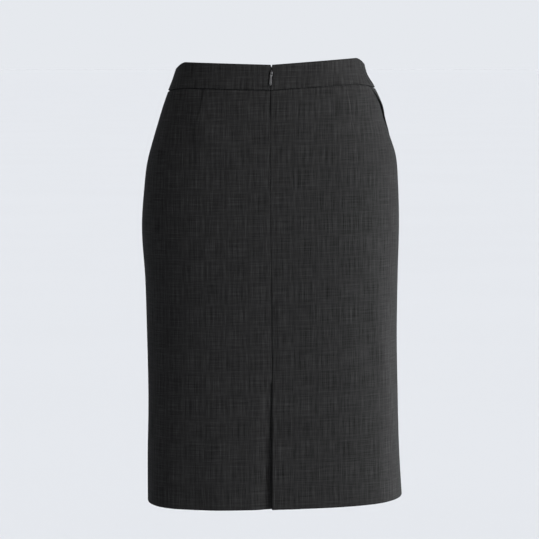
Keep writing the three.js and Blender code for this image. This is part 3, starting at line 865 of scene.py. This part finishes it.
def surface_noise(tree, scale):
    """Noise on the object's own coordinates, with a scale for each axis."""
    coordinates = tree.nodes.new("ShaderNodeTexCoord")
    stretch = tree.nodes.new("ShaderNodeMapping")
    stretch.inputs["Scale"].default_value = scale
    tree.links.new(coordinates.outputs["Object"], stretch.inputs["Vector"])
    made = tree.nodes.new("ShaderNodeTexNoise")
    made.inputs["Scale"].default_value = 1.0
    tree.links.new(stretch.outputs[0], made.inputs["Vector"])
    return made.outputs["Fac"]


def flat_place(tree):
    """Places across and along the flat cloth, in metres."""
    uv = tree.nodes.new("ShaderNodeUVMap")
    uv.uv_map = "flat_cloth"
    split = tree.nodes.new("ShaderNodeSeparateXYZ")
    tree.links.new(uv.outputs[0], split.inputs[0])
    return split.outputs[0], split.outputs[1]


def shade(tree, shader, value, dark, light, middle=None):
    """Colours the shader between dark and light as a value goes from zero to one."""
    ramp = tree.nodes.new("ShaderNodeValToRGB")
    stops = ramp.color_ramp.elements
    stops[0].color = (*dark, 1)
    stops[1].color = (*light, 1)
    if middle is not None:
        middle_stop = stops.new(0.5)
        middle_stop.color = (*middle, 1)
    tree.links.new(value, ramp.inputs["Fac"])
    tree.links.new(ramp.outputs["Color"], shader.inputs["Base Color"])


def roughen(tree, shader, value, low, high):
    rough = tree.nodes.new("ShaderNodeMapRange")
    rough.inputs["To Min"].default_value = low
    rough.inputs["To Max"].default_value = high
    tree.links.new(value, rough.inputs["Value"])
    tree.links.new(rough.outputs["Result"], shader.inputs["Roughness"])


def emboss(tree, shader, height, distance, strength=1.0):
    bump = tree.nodes.new("ShaderNodeBump")
    bump.inputs["Strength"].default_value = strength
    bump.inputs["Distance"].default_value = distance
    tree.links.new(height, bump.inputs["Height"])
    tree.links.new(bump.outputs[0], shader.inputs["Normal"])


def centred(tree, value, gain):
    """Turns a noise of 0 to 1 into one that swings round zero."""
    return math_node(tree, "MULTIPLY", math_node(tree, "SUBTRACT", value, 0.5), gain)


# %% The suiting
CHECK = 7.4
STROKE_FINE = 0.68
STROKE_LENGTH = 30
STROKE_GAIN = 1.2
WEFT_SHARE = 0.62
YARN = 0.55

# The lines of the check: half width at the foot and the crest, mean height, gain, and where they fade
LINE_FOOT = 0.19
LINE_CREST = 0.04
LINE_SHARE = 0.24
LINE_GAIN = 0.12
LINE_FADE = 3.3
WARP_FADE = 60
WEFT_FADE = 34

CLOUD_ACROSS = 9
CLOUD_ALONG = 22
CLOUD_GAIN = 0.1


def line_pulse(tree, place, period):
    """One soft line in each period, swinging round zero."""
    share = math_node(tree, "FRACT", math_node(tree, "DIVIDE", place, period * MM))
    away = math_node(tree, "ABSOLUTE", math_node(tree, "SUBTRACT", share, 0.5))
    made = tree.nodes.new("ShaderNodeMapRange")
    made.interpolation_type = "SMOOTHSTEP"
    made.inputs["From Min"].default_value = LINE_FOOT
    made.inputs["From Max"].default_value = LINE_CREST
    tree.links.new(away, made.inputs["Value"])
    return math_node(tree, "SUBTRACT", made.outputs["Result"], LINE_SHARE)


def total(tree, terms):
    """Sum of values, each with its own gain."""
    running = None
    for value, gain in terms:
        running = math_node(tree, "MULTIPLY_ADD", value, gain, 0.0 if running is None else running)
    return running


def suiting(name, dark, middle, light):
    material, tree, shader = new_material(name)
    u, v = flat_place(tree)

    def scaled(value, per_mm):
        return math_node(tree, "MULTIPLY", value, per_mm / MM)

    warp = noise(tree, scaled(u, 1 / STROKE_FINE), scaled(v, 1 / STROKE_LENGTH), 2.0, 0.6)
    weft = noise(tree, scaled(u, 1 / STROKE_LENGTH), scaled(v, 1 / STROKE_FINE), 2.0, 0.6)
    warp_reach = noise(tree, scaled(u, 1 / LINE_FADE), scaled(v, 1 / WARP_FADE), 1.0)
    weft_reach = noise(tree, scaled(u, 1 / WEFT_FADE), scaled(v, 1 / LINE_FADE), 1.0)
    warp_strength = math_node(tree, "MULTIPLY_ADD", warp_reach, 1.4, 0.4)
    warp_line = math_node(tree, "MULTIPLY", line_pulse(tree, u, CHECK), warp_strength)
    weft_line = math_node(tree, "MULTIPLY", line_pulse(tree, v, CHECK), centred(tree, weft_reach, 2.2))
    half_line = line_pulse(tree, u, CHECK / 2)
    weft_even = line_pulse(tree, v, CHECK)
    cloud = noise(tree, scaled(u, 1 / CLOUD_ACROSS), scaled(v, 1 / CLOUD_ALONG), 1.0)
    strokes = total(tree, [(centred(tree, warp, 1.0), 1.0), (centred(tree, weft, 1.0), WEFT_SHARE)])
    tone = total(
        tree,
        [
            (strokes, STROKE_GAIN),
            (warp_line, LINE_GAIN),
            (half_line, LINE_GAIN * 0.8),
            (weft_line, LINE_GAIN * 0.7),
            (weft_even, LINE_GAIN * 0.55),
            (centred(tree, cloud, 1.0), CLOUD_GAIN),
        ],
    )
    tone = math_node(tree, "ADD", tone, 0.5)

    shade(tree, shader, tone, dark, light, middle)
    roughen(tree, shader, tone, 0.95, 0.8)
    yarn_u = math_node(tree, "SINE", scaled(u, 2 * math.pi / YARN))
    yarn_v = math_node(tree, "SINE", scaled(v, 2 * math.pi / YARN))
    yarns = math_node(tree, "MULTIPLY", yarn_u, yarn_v)
    height = math_node(tree, "ADD", math_node(tree, "MULTIPLY", yarns, 0.25), strokes)
    emboss(tree, shader, height, 0.00012, 0.35)
    shader.inputs["Specular IOR Level"].default_value = 0.03
    shader.inputs["Sheen Weight"].default_value = 0.02
    shader.inputs["Sheen Roughness"].default_value = 0.4
    shader.inputs["Sheen Tint"].default_value = (0.86, 0.92, 1.0, 1)
    return material


DARK_YARN = (0.0034, 0.0034, 0.0034)
MIXED_YARN = (0.0148, 0.0148, 0.0149)
GREY_YARN = (0.0315, 0.0315, 0.0317)
CHARCOAL = suiting("charcoal_suiting", DARK_YARN, MIXED_YARN, GREY_YARN)
for made in CLOTH.values():
    made.data.materials.clear()
    made.data.materials.append(CHARCOAL)
print("check of", CHECK, "mm with strokes about", STROKE_LENGTH, "mm long")

# %% [markdown]
# The zip. Its tapes are woven strips behind the seam, and a nylon coil runs down where they meet. The
# slider and the pull are cast metal with rounded edges. Their solids in the frame already have the right
# shape, so a copy of each gets small bevels and a satin nickel finish. The slider's nickel is darkened as
# painted shade, for the shadow it sits in.

# %% Zip tapes, coil, slider and pull
ZIP_BOTTOM = -170
TAPE_WIDTH = 12
TAPE_DEPTH = -2.8
TAPE_THICK = 0.7
TAPES_MEET = 1.4
COIL_PITCH = 1.25
COIL_BELOW_TOP = 21
COIL_BEHIND = 0.9
COIL_RADIUS = 0.32
COIL_SIDES = 6
# One turn of the coil, across and in depth, as it hooks past the middle and goes back
COIL_TURN = [(2.1, 0.55), (0.6, 0.6), (-0.5, 0.15), (0.6, -0.5), (2.1, -0.45)]


def zip_tape(side):
    z = np.linspace(waist_top(0.0) - 0.8, ZIP_BOTTOM, 90)[:, None]
    below = waist_top(0.0) - z
    edge = slit_half(below) * SLIT_SHARES[side] * (1 - smoothstep((below - 0.6) / TAPES_MEET)) + 0.12
    share = np.linspace(0, 1, 8)[None, :]
    distance = edge + (TAPE_WIDTH - edge) * share
    z = np.broadcast_to(z, distance.shape)
    angle = side * degrees_for(distance, 0.0, z)
    out = np.full(angle.shape, float(TAPE_DEPTH))
    points = cloth_point(angle, z, out)
    flat = np.stack([distance * side, z], axis=-1)
    return [(points, flat)]


def tape_material():
    material, tree, shader = new_material("zip_tape_weave")
    u, v = flat_place(tree)
    slant = math_node(tree, "ADD", v, math_node(tree, "PINGPONG", u, 0.0015))
    ribs = math_node(tree, "SINE", math_node(tree, "MULTIPLY", slant, 2 * math.pi / 0.0007))
    ribs_up = math_node(tree, "MULTIPLY_ADD", ribs, 0.5, 0.5)
    shade(tree, shader, ribs_up, (0.003, 0.003, 0.0036), (0.008, 0.008, 0.009))
    emboss(tree, shader, ribs, 0.0001)
    shader.inputs["Roughness"].default_value = 0.8
    return material


TAPE_FINISH = tape_material()
for side, word in ((1, "left"), (-1, "right")):
    tape = sheet_from_grids(f"tape_{word}", zip_tape(side))
    face_outwards(tape)
    thicken(tape, TAPE_THICK)
    tape.data.materials.append(TAPE_FINISH)
    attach(tape, "skirt")
    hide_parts(f"zip_tape_{word}")


def zip_coil():
    """Interlocked coil turns down the centre back, as one joined mesh of small bent bars."""
    vertices = []
    faces = []
    top = waist_top(0.0) - COIL_BELOW_TOP
    count = int((top - ZIP_BOTTOM) / COIL_PITCH)
    for n in range(count):
        for side in (1, -1):
            z = top - COIL_PITCH * (n + (0.5 if side < 0 else 0))
            centre_x, centre_y, _ = cloth_point(0.0, z, TAPE_DEPTH - TAPE_THICK - COIL_BEHIND)
            start = len(vertices)
            for across, depth in COIL_TURN:
                for s in range(COIL_SIDES):
                    turn = 2 * math.pi * s / COIL_SIDES
                    x = centre_x + side * across
                    y = centre_y + depth + COIL_RADIUS * math.cos(turn)
                    vertices.append((x * MM, y * MM, (z + COIL_RADIUS * math.sin(turn)) * MM))
            for k in range(len(COIL_TURN) - 1):
                for s in range(COIL_SIDES):
                    a = start + k * COIL_SIDES + s
                    b = start + k * COIL_SIDES + (s + 1) % COIL_SIDES
                    faces.append((a, b, b + COIL_SIDES, a + COIL_SIDES))
            faces.append(tuple(start + s for s in reversed(range(COIL_SIDES))))
            last = start + (len(COIL_TURN) - 1) * COIL_SIDES
            faces.append(tuple(last + s for s in range(COIL_SIDES)))
    return new_object("zip_coil", vertices, faces)


def nylon():
    material, tree, shader = new_material("black_nylon")
    grain = surface_noise(tree, (900, 900, 900))
    shade(tree, shader, grain, (0.01, 0.01, 0.011), (0.035, 0.035, 0.038))
    shader.inputs["Roughness"].default_value = 0.38
    return material


coil = zip_coil()
coil.data.materials.append(nylon())
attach(coil, "skirt")


def satin_nickel(name, dark, light):
    material, tree, shader = new_material(name)
    grain = surface_noise(tree, (4000, 4000, 700))
    shade(tree, shader, grain, dark, light)
    roughen(tree, shader, grain, 0.24, 0.42)
    shader.inputs["Metallic"].default_value = 1.0
    return material


NICKEL = satin_nickel("satin_nickel", (0.15, 0.15, 0.154), (0.26, 0.26, 0.268))
# The slider's copy of the nickel is much darker: painted shade for the shadow the slider sits in
SHADED_NICKEL = satin_nickel("nickel_painted_shade", (0.03, 0.03, 0.032), (0.07, 0.07, 0.073))

# The pull hangs a little aslant, and its upper end narrows towards the eye
PULL_SLANT = -4.5
EYE_NARROWS = 0.4
EYE_REACH = 3


def softened_copy(node_name, name, body, width, finish):
    """Copy of a frame solid with small rounded edges."""
    source = frame["nodes"][node_name]
    made = into_scene(name, source.data.copy())
    work = bmesh.new()
    work.from_mesh(made.data)
    bmesh.ops.remove_doubles(work, verts=work.verts, dist=0.000002)
    bmesh.ops.dissolve_limit(work, angle_limit=math.radians(2), verts=work.verts, edges=work.edges)
    work.to_mesh(made.data)
    work.free()
    for polygon in made.data.polygons:
        polygon.use_smooth = True
    bevel = made.modifiers.new("worn edges", "BEVEL")
    bevel.width = width * MM
    bevel.segments = 3
    bevel.limit_method = "ANGLE"
    bevel.angle_limit = math.radians(40)
    made.data.materials.clear()
    made.data.materials.append(finish)
    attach(made, body)
    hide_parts(node_name)
    return made


ZIP_LEAN = Matrix.Translation((float(from_table(LEAN, LEAN_COLUMNS, "lean", 10)) * MM, 0, 0))
slider = softened_copy("zip_slider", "slider", "skirt", 0.18, SHADED_NICKEL)
slider.data.transform(ZIP_LEAN)
pull_tab = softened_copy("zip_pull", "pull_tab", "zip_tab", 0.2, NICKEL)
PULL_EYE = Vector((0, 96.27 * MM, 5.45 * MM))
for vertex in pull_tab.data.vertices:
    toward_eye = float(smoothstep((vertex.co.z - PULL_EYE.z) / (EYE_REACH * MM) + 1))
    vertex.co.x *= 1 - EYE_NARROWS * toward_eye
aslant = Matrix.Translation(PULL_EYE) @ Matrix.Rotation(math.radians(PULL_SLANT), 4, "Y")
pull_tab.data.transform(ZIP_LEAN @ aslant @ Matrix.Translation(-PULL_EYE))
print("coil faces:", len(coil.data.polygons))

# %% [markdown]
# The set is a bright studio with a pale backdrop and soft light, most of it from the right. Three suns with
# wide angles give it, because they fall evenly on the floor too: a key, a low rim at the side and a weak one
# from above. A small panel low on the right brightens the edge there. The world gives the soft fill, and the
# camera sees the backdrop's own pale colour. The camera stands four and a half metres behind the skirt, a
# little above the waist, and tips down.

# %% Floor, light and camera
FLOOR_HEIGHT = -1.03
FLOOR_HALF = 400
CAMERA_AWAY = 4.5
CAMERA_SIDE = 0.0034
CAMERA_HEIGHT = 0.02
CAMERA_PITCH = 3.577
SENSOR_WIDTH = 36
LENS = 222.6
FILL_LEVEL = 0.077
FILL_OVERHEAD = 0.7
BACKDROP = (0.791, 0.815, 0.855)
FLOOR_PALE = (0.660, 0.679, 0.715)
# Each sun: strength, width, azimuth and height above the horizon
SUNS = {"key": (3.95, 35, 52, 16), "rim": (6.1, 40, 100, 4.5), "top": (0.7, 60, 0, 58)}
PANEL_WATTS = 2.3
PANEL_SIZE = 0.3
PANEL_PLACE = (-0.58, -0.13, -0.43)
PANEL_AIM = (-0.15, 0.03, -0.41)


def floor():
    h = FLOOR_HALF
    corners = [(-h, -h, FLOOR_HEIGHT), (h, -h, FLOOR_HEIGHT), (h, h, FLOOR_HEIGHT), (-h, h, FLOOR_HEIGHT)]
    made = new_object("floor", corners, [(0, 1, 2, 3)])
    material, tree, shader = new_material("pale_floor")
    mottle = surface_noise(tree, (0.7, 0.7, 0.7))
    darker = [0.985 * c for c in FLOOR_PALE]
    lighter = [1.015 * c for c in FLOOR_PALE]
    shade(tree, shader, mottle, darker, lighter)
    shader.inputs["Roughness"].default_value = 1.0
    shader.inputs["Specular IOR Level"].default_value = 0.0
    made.data.materials.append(material)


def world():
    made = bpy.data.worlds.new("studio")
    bpy.context.scene.world = made
    made.use_nodes = True
    tree = made.node_tree
    background = tree.nodes["Background"]
    background.inputs["Color"].default_value = (1.0, 1.0, 1.0, 1)
    coordinates = tree.nodes.new("ShaderNodeTexCoord")
    split = tree.nodes.new("ShaderNodeSeparateXYZ")
    tree.links.new(coordinates.outputs["Generated"], split.inputs[0])
    height = math_node(tree, "MAXIMUM", split.outputs[2], 0.0)
    overhead = math_node(tree, "MULTIPLY", math_node(tree, "MULTIPLY", height, height), FILL_OVERHEAD)
    tree.links.new(math_node(tree, "ADD", overhead, FILL_LEVEL), background.inputs["Strength"])
    seen = tree.nodes.new("ShaderNodeBackground")
    seen.inputs["Color"].default_value = (*BACKDROP, 1)
    path = tree.nodes.new("ShaderNodeLightPath")
    mix = tree.nodes.new("ShaderNodeMixShader")
    tree.links.new(path.outputs["Is Camera Ray"], mix.inputs[0])
    tree.links.new(background.outputs[0], mix.inputs[1])
    tree.links.new(seen.outputs[0], mix.inputs[2])
    tree.links.new(mix.outputs[0], tree.nodes["World Output"].inputs["Surface"])


def sun(name, strength, width, azimuth, height):
    """azimuth turns from the back of the skirt to its right side, and height is above the horizon."""
    lamp = bpy.data.lights.new(name, "SUN")
    lamp.energy = strength
    lamp.angle = math.radians(width)
    made = into_scene(name, lamp)
    a = math.radians(azimuth)
    e = math.radians(height)
    towards = Vector((-math.sin(a) * math.cos(e), math.cos(a) * math.cos(e), math.sin(e)))
    made.rotation_mode = "QUATERNION"
    made.rotation_quaternion = towards.to_track_quat("Z", "Y")


def low_panel(watts, size, place, aim):
    """A small soft panel low at the right side, out of the picture."""
    lamp = bpy.data.lights.new("low_panel", "AREA")
    lamp.energy = watts
    lamp.size = size
    made = into_scene("low_panel", lamp)
    made.location = place
    made.rotation_mode = "QUATERNION"
    made.rotation_quaternion = (Vector(place) - Vector(aim)).to_track_quat("Z", "Y")
    made.visible_camera = False


def camera():
    data = bpy.data.cameras.new("camera")
    data.lens = LENS
    data.sensor_width = SENSOR_WIDTH
    data.clip_end = 1000
    made = into_scene("camera", data)
    made.location = (CAMERA_SIDE, CAMERA_AWAY, CAMERA_HEIGHT)
    made.rotation_mode = "XYZ"
    made.rotation_euler = (math.radians(90 - CAMERA_PITCH), 0, math.radians(180))
    bpy.context.scene.camera = made


floor()
world()
for name, settings in SUNS.items():
    sun(name, *settings)
low_panel(PANEL_WATTS, PANEL_SIZE, PANEL_PLACE, PANEL_AIM)
camera()
bpy.context.scene.view_settings.view_transform = "Standard"
print("camera", CAMERA_AWAY, "m away with a", LENS, "mm lens")
